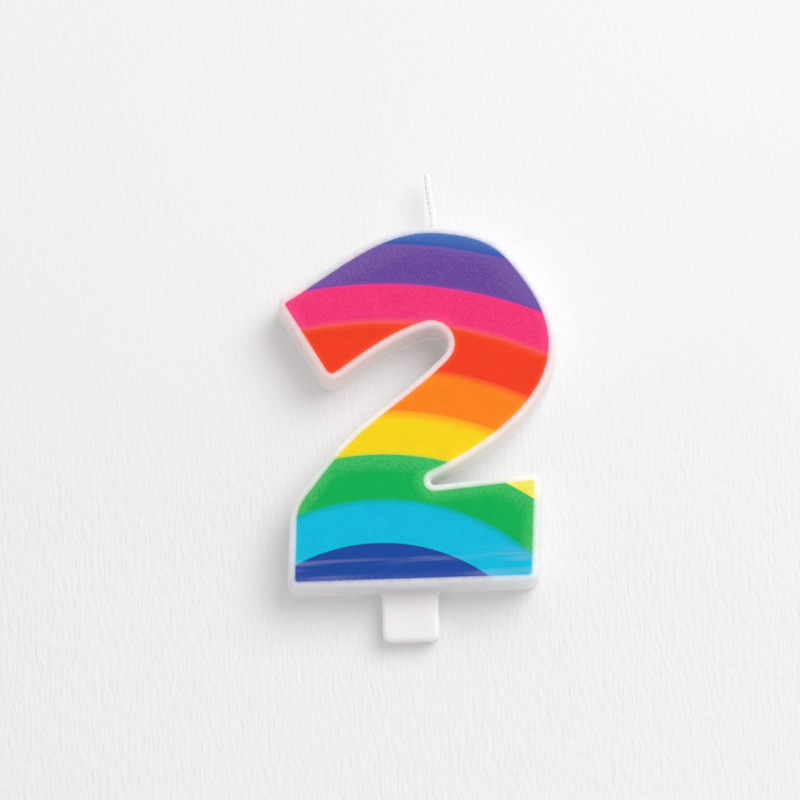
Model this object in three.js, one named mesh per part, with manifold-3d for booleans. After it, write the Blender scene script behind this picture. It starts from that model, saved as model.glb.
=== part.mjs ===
// Numeral birthday candle: a cast wax figure 2 with a stub to push into the icing, a braided wick and a
// rainbow transfer print on its flat front face.
// Millimetres, +Z up, front face towards -Y. The origin is the middle of the foot's underside, which rests
// on the icing, half way through the thickness.
import * as THREE from "three";
import { mergeVertices } from "three/addons/utils/BufferGeometryUtils.js";
import Module from "manifold-3d";

const wasm = await Module();
wasm.setup();

// Numeral, measured over the wax.
const NUMERAL_HEIGHT = 70;
const NUMERAL_WIDTH = 53;
const THICKNESS = 10;
const FOOT_WIDTH = 48.2;
const FOOT_HEIGHT = 21.5;
const FOOT_LEAN = 3.5; // degrees that the foot's ends lean to the right
const FOOT_TOP_RISE = 4.5; // degrees that the foot's top edge rises to the right

// Section of the wall, from the print outwards: a flat rim, a rounded front edge and a drafted wall.
const RIM = 0.3;
const EDGE_RUN = 0.9;
const EDGE_DEPTH = 1.1;
const EDGE_STEPS = 3;
const DRAFT = 3; // degrees
const BACK_CHAMFER = 0.3;

// Round corners of the print's outline. A hollow corner's radius is more than BORDER, so the wall has one.
const CORNER = 0.7;
const TIP_CORNER = 0.6;
const TERMINAL_CORNER = 1.4;
const BOWL_NOTCH = 4.35;
const FOOT_NOTCH = 1.95;
const HEEL = 8;

// Stub below the foot.
const STUB_WIDTH = 10.8;
const STUB_LENGTH = 9.5;
const STUB_THICKNESS = 4.4;
const STUB_OFFSET = -0.75; // from the foot's middle, along X
const STUB_CORNER = 1.5;
const STUB_EDGE = 0.7;
const STUB_FLARE = 0.8; // radius of the hollow where it meets the foot
const STUB_ROOT = 4; // how far it runs up into the numeral
const STUB_SINK = 0.05; // how far the top of that hollow lies inside the foot

// Wick.
const WICK_DIAMETER = 1.3;
const WICK_GAP = 0.3;
const WICK_STAND = 11.3; // how far it stands above the crown
const WICK_SIDES = 10;
const WICK_STEPS = 46;

// Transfer print: bands of colour between arcs about one centre below the foot.
const PRINT_THICKNESS = 0.15;
const ARC_CENTRE_X = -6.5;
const ARC_CENTRE_DEPTH = 26;
const BLUE_RISE = 8.7; // crests of the two lowest arcs, above the foot's underside
const CYAN_RISE = 17.1;
const GREEN_RISE = 4.1; // crest of the third arc, above the foot's top
const RED_DROP = 27.4; // crests of the four highest arcs, below the crown
const PINK_DROP = 19.1;
const PURPLE_DROP = 11.4;
const TOP_BLUE_DROP = 3.6;

const SWEEP = 60; // degrees each side of upright that a band of colour reaches
const GAP_HEADING = 210; // direction in which the gap between arm and diagonal opens, in degrees
const CUT_MARGIN = 0.1; // how far a cut runs past the outline it clears

// Fineness of the curves.
const ARC_STEP = 15; // degrees
const CURVE_STEP = 2.6;
const BAND_STEP = 3; // degrees

const COLOURS = {
  wax: 0xf4f3f0,
  wick: 0xf1efe8,
  royal_blue: 0x254c9e,
  cyan: 0x01b7dc,
  green: 0x00af54,
  yellow: 0xf3d213,
  orange: 0xf57d21,
  red: 0xf04325,
  pink: 0xef3376,
  purple: 0x6e4c9e,
  top_blue: 0x4067b1,
};

const WALL_DEPTH = THICKNESS - EDGE_DEPTH - BACK_CHAMFER;
const WALL_RUN = WALL_DEPTH * Math.tan(THREE.MathUtils.degToRad(DRAFT));
const BORDER = RIM + EDGE_RUN + WALL_RUN;
const FRONT = -THICKNESS / 2;
const BACK = THICKNESS / 2;

// The print's own edges, which the outline's places are given from.
const LEFT = -FOOT_WIDTH / 2 + BORDER;
const RIGHT = LEFT + NUMERAL_WIDTH - 2 * BORDER;
const FOOT_RIGHT = FOOT_WIDTH / 2 - BORDER;
const BOTTOM = BORDER;
const TOP = NUMERAL_HEIGHT - BORDER;
const FOOT_TOP = FOOT_HEIGHT - BORDER;
const FOOT_SHIFT = (FOOT_TOP - BOTTOM) * Math.tan(THREE.MathUtils.degToRad(FOOT_LEAN));

const direction = (heading) => {
  const angle = THREE.MathUtils.degToRad(heading);
  return new THREE.Vector2(Math.cos(angle), Math.sin(angle));
};

const outward = (heading) => direction(heading - 90);

// One stretch of an outline that runs anticlockwise: an arc about (x, z) whose heading turns from one angle
// to another. A hollow corner has a negative radius, and radius 0 is a point that the curve runs through.
const arc = (x, z, radius, from, to = from) => ({ centre: new THREE.Vector2(x, z), radius, from, to });

const NOTCH = new THREE.Vector2(RIGHT - 22.4, TOP - 21.6);
const TERMINAL = new THREE.Vector2(LEFT + 8.2, TOP - 25.5);
const HOLLOW = new THREE.Vector2(FOOT_RIGHT - 17.9, FOOT_TOP + 0.45);

const numeral = [
  arc(LEFT + CORNER, BOTTOM + CORNER, CORNER, -90 - FOOT_LEAN, 0),
  arc(FOOT_RIGHT - CORNER, BOTTOM + CORNER, CORNER, 0, 90 - FOOT_LEAN),
  arc(FOOT_RIGHT + FOOT_SHIFT - CORNER, FOOT_TOP - CORNER, CORNER, 90 - FOOT_LEAN, 180 + FOOT_TOP_RISE),
  arc(HOLLOW.x, HOLLOW.y, -FOOT_NOTCH, 180 + FOOT_TOP_RISE, 23),
  arc(RIGHT - 9, FOOT_TOP + 10.8, 0, 39.5),
  arc(RIGHT, TOP - 23.4, 0, 84.5),
  arc(RIGHT - 7.6, TOP - 5.4, 0, 129.5),
  arc(RIGHT - 21, TOP - 0.1, 0, 175),
  arc(LEFT + 0.1, TOP - 13.2, TIP_CORNER, 209, 300),
  arc(TERMINAL.x, TERMINAL.y, TERMINAL_CORNER, 300, 394),
  arc(NOTCH.x, NOTCH.y, -BOWL_NOTCH, 374, 225),
  arc(LEFT + 13.8, FOOT_TOP + 10.6, 0, 219),
  arc(LEFT + HEEL + 0.55, BOTTOM + 11.2, HEEL, 231, 270 - FOOT_LEAN),
];

// The stub's outline has its lower left corner at (0, 0). The foot's underside slopes with the draft, so
// the stub's sides run on to where its front face meets that slope before they flare.
const STUB_TOP =
  STUB_LENGTH + STUB_SINK + STUB_THICKNESS * Math.tan(THREE.MathUtils.degToRad(DRAFT));
const stub = [
  arc(STUB_CORNER, STUB_CORNER, STUB_CORNER, -90, 0),
  arc(STUB_WIDTH - STUB_CORNER, STUB_CORNER, STUB_CORNER, 0, 90),
  arc(STUB_WIDTH + STUB_FLARE, STUB_TOP - STUB_FLARE, -STUB_FLARE, 90, 0),
  arc(STUB_WIDTH + STUB_FLARE + STUB_EDGE, STUB_TOP, 0, 90),
  arc(STUB_WIDTH + STUB_FLARE, STUB_TOP + STUB_ROOT, 0, 180),
  arc(-STUB_FLARE, STUB_TOP + STUB_ROOT, 0, 180),
  arc(-STUB_FLARE - STUB_EDGE, STUB_TOP, 0, 270),
  arc(-STUB_FLARE, STUB_TOP - STUB_FLARE, -STUB_FLARE, 360, 270),
];

// Half way round the stub's rounded front edge, each way from where it starts and ends.
const STUB_BEND = STUB_EDGE * (1 - Math.SQRT1_2);

// Points of an outline with the outward direction at each: every arc, and the smooth curve to the next one.
function pointsOf(outline) {
  const points = [];
  outline.forEach(({ centre, radius, from, to }, i) => {
    const steps = radius === 0 ? 0 : Math.ceil(Math.abs(to - from) / ARC_STEP);
    for (let k = 0; k <= steps; k++) {
      const normal = outward(steps === 0 ? from : from + ((to - from) * k) / steps);
      points.push({ at: centre.clone().addScaledVector(normal, radius), normal });
    }
    const next = outline[(i + 1) % outline.length];
    const start = points.at(-1).at;
    const end = next.centre.clone().addScaledVector(outward(next.from), next.radius);
    const turn = THREE.MathUtils.euclideanModulo(next.from - to + 180, 360) - 180;
    // A handle of this length makes the curve an arc wherever the two headings allow one.
    const chord = start.distanceTo(end);
    const handle = chord / (3 * Math.cos(THREE.MathUtils.degToRad(turn / 4)) ** 2);
    const curve = new THREE.CubicBezierCurve(
      start,
      start.clone().addScaledVector(direction(to), handle),
      end.clone().addScaledVector(direction(next.from), -handle),
      end,
    );
    const cuts = Math.abs(turn) < 1 ? 1 : Math.ceil(chord / CURVE_STEP);
    for (let k = 1; k < cuts; k++) {
      const tangent = curve.getTangent(k / cuts);
      points.push({ at: curve.getPoint(k / cuts), normal: new THREE.Vector2(tangent.y, -tangent.x) });
    }
  });
  return points;
}

// A closed solid through copies of one outline, each grown by grow at its own y, from front to back.
function loft(points, layers) {
  const rings = layers.map(({ grow }) =>
    points.map(({ at, normal }) => at.clone().addScaledVector(normal, grow)),
  );
  const count = points.length;
  const position = rings.flatMap((ring, k) => ring.flatMap((p) => [p.x, layers[k].y, p.y]));
  const index = [];
  for (let k = 0; k + 1 < rings.length; k++) {
    for (let i = 0; i < count; i++) {
      const j = (i + 1) % count;
      const [a, b, c, d] = [i, j, i + count, j + count].map((n) => n + k * count);
      index.push(a, d, b, a, c, d);
    }
  }
  const last = (rings.length - 1) * count;
  for (const [a, b, c] of THREE.ShapeUtils.triangulateShape(rings[0], [])) index.push(a, b, c);
  for (const [a, b, c] of THREE.ShapeUtils.triangulateShape(rings.at(-1), [])) {
    index.push(last + a, last + c, last + b);
  }
  return new THREE.BufferGeometry()
    .setAttribute("position", new THREE.Float32BufferAttribute(position, 3))
    .setIndex(index);
}

function solidOf(geometry) {
  const bare = geometry.clone();
  bare.deleteAttribute("normal");
  bare.deleteAttribute("uv");
  const merged = mergeVertices(bare, 1e-4);
  return new wasm.Manifold(
    new wasm.Mesh({
      numProp: 3,
      vertProperties: merged.getAttribute("position").array,
      triVerts: new Uint32Array(merged.index.array),
    }),
  );
}

function geometryOf(solid) {
  const { vertProperties, triVerts } = solid.getMesh();
  const geometry = new THREE.BufferGeometry()
    .setAttribute("position", new THREE.BufferAttribute(vertProperties, 3))
    .setIndex(new THREE.BufferAttribute(triVerts, 1));
  geometry.computeVertexNormals();
  return geometry;
}

const part = new THREE.Group();

function add(name, geometry, colour, roughness) {
  const material = new THREE.MeshStandardMaterial({ color: colour, roughness, metalness: 0 });
  const mesh = new THREE.Mesh(geometry, material);
  mesh.name = name;
  part.add(mesh);
}

// The wick stands out of the crown and follows the stroke down into the foot, half way through the wax.
const wickRoute = new THREE.CatmullRomCurve3(
  [
    [-22.2, TOP + BORDER + WICK_STAND],
    [-21.9, TOP + BORDER + 7],
    [-21.3, TOP + BORDER + 2.5],
    [-21, TOP - 2],
    [-17.8, TOP - 7],
    [-12, TOP - 13],
    [-9.2, TOP - 21],
    [-12.6, TOP - 30],
    [-23.2, FOOT_TOP + 9.4],
    [-34, FOOT_TOP + 0.7],
    [-38.5, FOOT_TOP - 6],
  ].map(([x, z]) => new THREE.Vector3(RIGHT + x, 0, z)),
);

function tubeAlong(route, radius, sides, steps) {
  const section = new THREE.Shape();
  for (let i = 0; i < sides; i++) {
    const point = direction((360 * i) / sides).multiplyScalar(radius);
    if (i === 0) section.moveTo(point.x, point.y);
    else section.lineTo(point.x, point.y);
  }
  section.closePath();
  return new THREE.ExtrudeGeometry(section, { steps, extrudePath: route, bevelEnabled: false });
}

// The channel is the wick's own route with a wider section, run on past the wick's lower end.
const channelRoute = new THREE.CatmullRomCurve3([
  ...wickRoute.points,
  wickRoute.getPoint(1).addScaledVector(wickRoute.getTangent(1), WICK_GAP),
]);

const edgeLayers = Array.from({ length: EDGE_STEPS + 1 }, (_, k) => {
  const angle = (Math.PI / 2) * (k / EDGE_STEPS);
  return { y: FRONT + EDGE_DEPTH * (1 - Math.cos(angle)), grow: RIM + EDGE_RUN * Math.sin(angle) };
});

const numeralPoints = pointsOf(numeral);

function waxBody() {
  const figure = loft(numeralPoints, [
    ...edgeLayers,
    { y: BACK - BACK_CHAMFER, grow: BORDER },
    { y: BACK, grow: BORDER - BACK_CHAMFER },
  ]);
  const peg = loft(pointsOf(stub), [
    { y: BACK - STUB_THICKNESS, grow: -STUB_EDGE },
    { y: BACK - STUB_THICKNESS + STUB_BEND, grow: -STUB_BEND },
    { y: BACK - STUB_THICKNESS + STUB_EDGE, grow: 0 },
    { y: BACK - BACK_CHAMFER, grow: 0 },
    { y: BACK, grow: -BACK_CHAMFER },
  ]).translate(STUB_OFFSET - STUB_WIDTH / 2, 0, -STUB_LENGTH);
  const channel = tubeAlong(channelRoute, WICK_DIAMETER / 2 + WICK_GAP, WICK_SIDES, WICK_STEPS);
  return solidOf(figure).add(solidOf(peg)).subtract(solidOf(channel));
}

add("wax_body", geometryOf(waxBody()), COLOURS.wax, 0.45);
add("wick", tubeAlong(wickRoute, WICK_DIAMETER / 2, WICK_SIDES, WICK_STEPS), COLOURS.wick, 0.9);

// Print film. Radii of the arcs between the colours, from the arcs' centre; yellow and orange share the
// height between the green band and the red one.
const PRINT_BACK = FRONT;
const PRINT_FRONT = FRONT - PRINT_THICKNESS;
const within = ARC_CENTRE_DEPTH / 2;
const blueArc = ARC_CENTRE_DEPTH + BLUE_RISE;
const cyanArc = ARC_CENTRE_DEPTH + CYAN_RISE;
const greenArc = ARC_CENTRE_DEPTH + FOOT_HEIGHT + GREEN_RISE;
const redArc = ARC_CENTRE_DEPTH + NUMERAL_HEIGHT - RED_DROP;
const orangeArc = (greenArc + redArc) / 2;
const pinkArc = ARC_CENTRE_DEPTH + NUMERAL_HEIGHT - PINK_DROP;
const purpleArc = ARC_CENTRE_DEPTH + NUMERAL_HEIGHT - PURPLE_DROP;
const topBlueArc = ARC_CENTRE_DEPTH + NUMERAL_HEIGHT - TOP_BLUE_DROP;
const beyond = ARC_CENTRE_DEPTH + NUMERAL_HEIGHT + NUMERAL_WIDTH;

// A solid of that anticlockwise outline, thicker than the film on both sides so that it cuts right through.
function cutter(corners) {
  const points = corners.map((at) => ({ at, normal: new THREE.Vector2() }));
  return solidOf(
    loft(points, [
      { y: PRINT_FRONT - PRINT_THICKNESS, grow: 0 },
      { y: PRINT_BACK + PRINT_THICKNESS, grow: 0 },
    ]),
  );
}

function band(inner, outer) {
  const steps = (2 * SWEEP) / BAND_STEP;
  const centre = new THREE.Vector2(ARC_CENTRE_X, -ARC_CENTRE_DEPTH);
  const rim = (radius) =>
    Array.from({ length: steps + 1 }, (_, k) =>
      direction(90 - SWEEP + k * BAND_STEP).multiplyScalar(radius).add(centre),
    );
  return cutter([...rim(outer), ...rim(inner).reverse()]);
}

const film = solidOf(
  loft(numeralPoints, [
    { y: PRINT_FRONT, grow: 0 },
    { y: PRINT_BACK, grow: 0 },
  ]),
);

// Two colours appear twice: below the pink one, red ends the arm at its terminal, and above the green one,
// yellow fills the foot's upper right corner. The stroke is the film without those two ends. The arm lies
// left of the notch, above a line down the middle of the gap that opens from it.
const gapLine = direction(GAP_HEADING).multiplyScalar((NOTCH.x - LEFT) / -direction(GAP_HEADING).x);
const armSide = cutter([
  NOTCH,
  new THREE.Vector2(NOTCH.x, TOP + CUT_MARGIN),
  new THREE.Vector2(LEFT - CUT_MARGIN, TOP + CUT_MARGIN),
  gapLine.add(NOTCH).setX(LEFT - CUT_MARGIN),
]);
const cornerSide = cutter([
  new THREE.Vector2(HOLLOW.x, BOTTOM),
  new THREE.Vector2(RIGHT, BOTTOM),
  new THREE.Vector2(RIGHT, FOOT_TOP + CUT_MARGIN),
  new THREE.Vector2(HOLLOW.x, FOOT_TOP + CUT_MARGIN),
]);
const stroke = film.subtract(armSide).subtract(cornerSide);

const inks = {
  ink_royal_blue: [film.intersect(band(within, blueArc)), COLOURS.royal_blue],
  ink_cyan: [film.intersect(band(blueArc, cyanArc)), COLOURS.cyan],
  ink_green: [film.intersect(band(cyanArc, greenArc)), COLOURS.green],
  ink_yellow: [stroke.intersect(band(greenArc, orangeArc)), COLOURS.yellow],
  ink_yellow_corner: [film.intersect(cornerSide).intersect(band(greenArc, beyond)), COLOURS.yellow],
  ink_orange: [stroke.intersect(band(orangeArc, redArc)), COLOURS.orange],
  ink_red_bowl: [stroke.intersect(band(redArc, pinkArc)), COLOURS.red],
  ink_red_terminal: [film.intersect(armSide).intersect(band(orangeArc, pinkArc)), COLOURS.red],
  ink_pink: [film.intersect(band(pinkArc, purpleArc)), COLOURS.pink],
  ink_purple: [film.intersect(band(purpleArc, topBlueArc)), COLOURS.purple],
  ink_top_blue: [film.intersect(band(topBlueArc, beyond)), COLOURS.top_blue],
};

for (const [name, [solid, colour]] of Object.entries(inks)) add(name, geometryOf(solid), colour, 0.3);

export default part;
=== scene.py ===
import math

import bmesh
import bpy
import numpy as np
from mathutils import Matrix, Vector
from mathutils.geometry import delaunay_2d_cdt
from mathutils.kdtree import KDTree


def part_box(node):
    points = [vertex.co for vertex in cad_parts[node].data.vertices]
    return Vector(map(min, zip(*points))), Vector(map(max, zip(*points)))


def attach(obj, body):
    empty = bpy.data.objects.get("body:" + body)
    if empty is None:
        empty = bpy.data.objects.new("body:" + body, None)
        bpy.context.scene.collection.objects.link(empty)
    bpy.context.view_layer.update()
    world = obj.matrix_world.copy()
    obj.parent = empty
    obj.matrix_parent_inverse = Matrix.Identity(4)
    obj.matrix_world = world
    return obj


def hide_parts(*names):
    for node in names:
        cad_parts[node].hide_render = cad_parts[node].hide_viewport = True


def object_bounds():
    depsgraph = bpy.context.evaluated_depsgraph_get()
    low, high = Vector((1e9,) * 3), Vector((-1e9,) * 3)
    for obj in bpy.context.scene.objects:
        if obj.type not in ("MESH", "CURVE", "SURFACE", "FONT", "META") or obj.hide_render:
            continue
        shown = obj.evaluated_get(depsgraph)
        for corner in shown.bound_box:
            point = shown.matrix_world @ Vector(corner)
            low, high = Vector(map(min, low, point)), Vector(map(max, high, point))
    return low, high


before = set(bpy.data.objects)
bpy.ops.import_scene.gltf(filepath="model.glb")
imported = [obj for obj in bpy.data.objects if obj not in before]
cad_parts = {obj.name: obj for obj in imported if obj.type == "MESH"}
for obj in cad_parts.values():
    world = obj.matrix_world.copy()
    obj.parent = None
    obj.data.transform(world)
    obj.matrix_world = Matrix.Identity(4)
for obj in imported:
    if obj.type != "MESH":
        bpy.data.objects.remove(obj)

cad_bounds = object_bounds()

MM = 0.001
WAX_LOW, WAX_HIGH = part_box("wax_body")
WICK_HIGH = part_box("wick")[1]
FRONT = WAX_LOW.y
BACK = WAX_HIGH.y
FOOT = 0.0  # height of the foot's underside

# Section of the numeral's wall, outwards from the print's edge, as the CAD has it.
RIM = 0.3 * MM
EDGE_RUN = 0.9 * MM
EDGE_DEPTH = 1.1 * MM
WALL_RUN = 0.45 * MM
BACK_RADIUS = 0.35 * MM
EDGE_RINGS = 8
WALL_RINGS = 12
BACK_RINGS = 4
RELIEF = 0.006 * MM  # height of the cast surface's slow unevenness

# Reading the outline from the CAD.
WELD = 0.002 * MM
FLAT = 0.01 * MM
OUTLINE_STEP = 0.3 * MM
STRAIGHT_RATIO = 3.0  # a neighbour this many times longer gives a corner's direction

# Stub, measured on the CAD's own box.
STUB_LEFT = -6.15 * MM
STUB_RIGHT = 4.65 * MM
STUB_FRONT = BACK - 4.4 * MM
STUB_CORNER = 1.5 * MM
STUB_EDGE = 0.8 * MM
STUB_ROOT = 3.0 * MM
STUB_ROOT_CORNER = 0.2 * MM
STUB_RINGS = 6
STUB_CORNER_POINTS = 13
# below this height the wax gets the stub's painted shade
STUB_TOP = -0.8 * MM  # wax below this height is coloured as the stub's
VOXEL = 0.22 * MM
BLEND_REACH = 1.7 * MM  # how far from the stub's root the wax is smoothed
BLEND_PASSES = 60
BLEND_WEIGHT = 0.5
BLEND_FULL = 1.3  # above 1, so that the smoothing is at its full strength for a way
BLEND_BELOW = 0.1 * MM  # the meeting line lies this far below the foot's underside
BLEND_TOP = 2.0 * MM
BLEND_CLEAR = 0.6 * MM  # the back this thick stays as it is

# Print.
FILM = 0.05 * MM
FILM_SKIRT = 0.12 * MM
FILM_GRID = 0.7 * MM
GRID_TO_EDGE = 0.3 * MM
GRID_TO_ARC = 0.25 * MM
MERGE = 1e-5  # mm within which two of the film's points are one
ARC_CENTRE = (-6.5 * MM, -26.0 * MM)
ARC_STEP = 0.5 * MM

# How far past an ink node's box its area is looked for.
CORNER_SLACK = 0.1 * MM
ARM_SLACK = 1.0 * MM
ARM_SLACK_BELOW = 0.3 * MM

# Painted glow on the wax's edge, standing in for light carried through the wax from the print: the
# print's colour just inside it, blurred along the outline and made paler.
PAINTED_GLOW_INSET = 0.3 * MM
PAINTED_GLOW_REACH = 7  # outline points each way
PAINTED_GLOW_BLUR = 3.0
PAINTED_GLOW_PALE = 0.36
PAINTED_GLOW_PALE_BRIGHT = 0.3  # more of it where the print is bright

# Strength of that painted glow: the sum of two that fade with distance from the print, each with its
# reach in mm.
PAINTED_GLOW_EDGE = (0.42, 0.24)
PAINTED_GLOW_WALL = (0.36, 9.0)
# painted glow under the print, so that light carried through the wax comes out coloured
PAINTED_GLOW_COVERED = 0.6  # under the print
# how much of the stub's painted shade shows
STUB_PAINTED_SHADE_AMOUNT = 0.24
PAINTED_GLOW_BACK = 1.4 * MM  # it fades out over this depth before the back
COVERED_DEPTH = 0.02 * MM

# Wick.
WICK_READ = 6.0 * MM  # how far below the crown the wick's route is read
WICK_SECTION = 0.6 * MM  # least step between two of its sections
WICK_STEP = 0.1 * MM
WICK_SIDES = 14
WICK_TIP = 0.35 * MM  # the plies end this far below the tip of the fibres
TIP_LOOSE = (0.25, 0.8)  # the plies part by this much at the tip, over this many mm
TIP_TAPER = (0.55, 0.25)  # and thin by this much
STRANDS = (0.05, 9)  # ridges along a ply: their height as a share of its radius, and their pace
FIBRES = 16
FIBRE_SEED = 5
FIBRE_RADIUS = 0.035 * MM
FIBRE_TAPER = 0.6
FIBRE_ROOT = 0.5 * MM
FIBRE_SPREAD = 0.35  # mm
FIBRE_LENGTH = (0.5, 1.0)  # mm
FIBRE_LEAN = (0.1, 0.75)  # outwards for each part upwards
FIBRE_CURL = 0.3
FIBRE_POINTS = 7
FIBRE_SIDES = 6
PLY_COUNT = 3
PLY_RADIUS = 0.40 * MM
BRAID_SWING = 0.21 * MM
BRAID_DEPTH = 0.12 * MM
BRAID_PITCH = 3.0 * MM
WICK_BURIED = 2.5 * MM
COLLAR_HEIGHT = 0.9 * MM
COLLAR_REACH = 1.5 * MM
COLLAR_NECK = 0.75 * MM
COLLAR_ROOT = 1.0 * MM
COLLAR_RINGS = 9
COLLAR_SIDES = 24
COLLAR_FLARE = 2.2  # how quickly it opens towards its foot
COLLAR_BLEND = 2.0 * MM
COLLAR_PASSES = 10
COLLAR_WEIGHT = 0.4
COLLAR_FULL = 1.4

# Camera.
LENS = 164.4
SENSOR = 36.0
CAMERA_DISTANCE = 700.0 * MM
CAMERA_ELEVATION = -9.3
CAMERA_ROLL = 1.8
AIM = (-1.5 * MM, 0.0, 36.78 * MM)
ORBIT = (1.9 * MM, 0.0, 34.7 * MM)
NEAREST, FARTHEST = 0.01, 10.0

# Table and light.
FLOOR_SIZE = 3.0
BRIGHT_SIDE = (0.72, -0.15, 0.68)
WORLD_DARK = 0.65
WORLD_BRIGHT = 0.74
DARK_TONE = (1.0, 0.955, 0.925, 1.0)
BRIGHT_TONE = (0.985, 0.995, 1.0, 1.0)
KEY_POWER = 8.7
KEY_PLACE = (0.62, -1.0, 0.60)
KEY_SIZE = 1.0
FLOOR_GAP = 0.02 * MM
NEAR = 0.6 * MM
CREPE_TALL = 0.27  # the ripples' scale upwards against sideways
CREPE_HEIGHT = 0.30  # mm
CREPE_CALM = (55.0, 10.0)  # heights in mm between which the ripples grow, downwards


def srgb(red, green, blue):
    """Linear colour of an 8-bit one."""
    out = []
    for value in (red, green, blue):
        v = value / 255.0
        out.append(v / 12.92 if v <= 0.04045 else ((v + 0.055) / 1.055) ** 2.4)
    return out


COLOURS = {
    "royal_blue": srgb(22, 70, 157),
    "cyan": srgb(0, 184, 219),
    "green": srgb(0, 174, 80),
    "yellow": srgb(243, 210, 16),
    "yellow_corner": srgb(238, 227, 78),
    "orange": srgb(248, 128, 22),
    "red": srgb(239, 58, 28),
    "pink": srgb(238, 41, 111),
    "purple": srgb(98, 61, 150),
    "top_blue": srgb(63, 103, 178),
}
# painted shade: the thin wax of the stub, under the foot, is given a darker, bluer tone than the rest of
# the wax
STUB_PAINTED_SHADE = srgb(208, 210, 218)  # the thin wax of the stub
PAPER = srgb(250, 247, 246)  # what shows where the print has no ink
WAX_TONES = srgb(240, 239, 240), srgb(244, 243, 243)
DUST = srgb(206, 202, 196)
# painted sheen: light streaks along the foot, standing in for reflections in the glossy print
SHEEN_STREAK_COLOUR = srgb(188, 184, 226)
SHEEN_STREAK_AMOUNT = 0.30
COTTON_TONES = srgb(250, 249, 246), srgb(254, 254, 253)
FLOOR_TONES = srgb(237, 237, 238), srgb(239, 239, 240)

# Node, colour, and the colours met across its inner and its outer arc.
INKS = [
    ("ink_royal_blue", "royal_blue", None, "cyan"),
    ("ink_cyan", "cyan", "royal_blue", "green"),
    ("ink_green", "green", "cyan", "yellow"),
    ("ink_yellow", "yellow", "green", "orange"),
    ("ink_yellow_corner", "yellow_corner", "green", None),
    ("ink_orange", "orange", "yellow", "red"),
    ("ink_red_bowl", "red", "orange", "pink"),
    ("ink_red_terminal", "red", None, "pink"),
    ("ink_pink", "pink", "red", "purple"),
    ("ink_purple", "purple", "pink", "top_blue"),
    ("ink_top_blue", "top_blue", "purple", None),
]
# Colour of the fine dots that thicken towards an area's edges, how far in from the print's edge and from
# its outer arc they reach, in mm, how strong they are, and how thick they lie away from the edges.
DOTS = {
    "royal_blue": (srgb(80, 90, 176), 2.2, 0.0, 0.35, 0.0),
    "cyan": (srgb(60, 200, 228), 1.0, 0.0, 0.3, 0.0),
    "green": (srgb(86, 196, 112), 3.0, 4.4, 0.7, 0.0),
    "yellow": (srgb(246, 222, 50), 1.5, 0.0, 0.5, 0.0),
    "yellow_corner": (srgb(248, 238, 130), 2.0, 0.0, 0.7, 0.0),
    "orange": (srgb(250, 152, 44), 1.4, 1.6, 0.5, 0.0),
    "red": (srgb(243, 92, 52), 1.4, 1.2, 0.5, 0.0),
    "pink": (srgb(244, 92, 152), 2.4, 0.0, 0.5, 0.3),
    "purple": (srgb(137, 112, 181), 6.5, 0.0, 0.52, 0.28),
    "top_blue": (srgb(104, 138, 200), 1.2, 0.0, 0.5, 0.2),
}
DOT_SCALE = 6.4
EDGE_SOFTNESS = 0.26  # mm over which the print's own edge fades
EDGE_WANDER = 0.10  # mm each way that it strays
EDGE_FADE = 0.5  # how far it fades
BOUNDARY_SOFTNESS = 0.14  # mm each way over which two colours run together
BOUNDARY_WANDER = 0.08  # mm each way that they stray
INK_DEEP = 0.90  # the darker patches against the area's own colour
INK_PALE = (1.05, 0.012)  # the paler grains: a factor, and what is added to it
INK_ROUGHNESS = (0.32, 0.44)
INK_GLOSS = dict(Specular_IOR_Level=0.06, Coat_Weight=0.06, Coat_Roughness=0.15)
# where the painted sheen streaks lie
SHEEN_STREAK_TOP = 8.0  # mm above the foot's underside
SHEEN_STREAK_FADE = 2.5  # mm
SHEEN_STREAK_STRETCH = (0.022, 0.0, 0.42)
WAX_ROUGHNESS = (0.38, 0.52)
WAX_SCATTER = dict(Subsurface_Weight=0.85, Subsurface_Radius=(1.0, 0.85, 0.75), Subsurface_Scale=3.2 * MM)
WAX_WAVES, WAX_GRAIN = 0.10, 0.010  # heights of the surface's bumps, in mm
INK_WAVES, INK_GRAIN = 0.12, 0.005
COTTON_ROUGHNESS = (0.75, 0.5)
COTTON_SCATTER = dict(Subsurface_Weight=0.2, Subsurface_Radius=(1.0, 0.8, 0.6), Subsurface_Scale=0.4 * MM)
COTTON_THREAD, COTTON_GRAIN = 0.015, 0.008
# Tone that the first colour takes on towards the second, and how far in it reaches, in mm.
BLENDS = {
    ("top_blue", "purple"): (srgb(57, 88, 168), 1.8),
    ("purple", "top_blue"): (srgb(114, 88, 170), 1.1),
    ("purple", "pink"): (srgb(132, 68, 154), 0.8),
    ("pink", "purple"): (srgb(224, 60, 150), 0.7),
    ("pink", "red"): (srgb(243, 86, 92), 1.5),
    ("orange", "red"): (srgb(242, 84, 36), 1.7),
    ("yellow", "orange"): (srgb(251, 164, 26), 2.2),
    ("yellow", "green"): (srgb(206, 214, 54), 0.9),
    ("cyan", "green"): (srgb(0, 175, 164), 1.5),
}


# ---------------------------------------------------------------- outline


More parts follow.
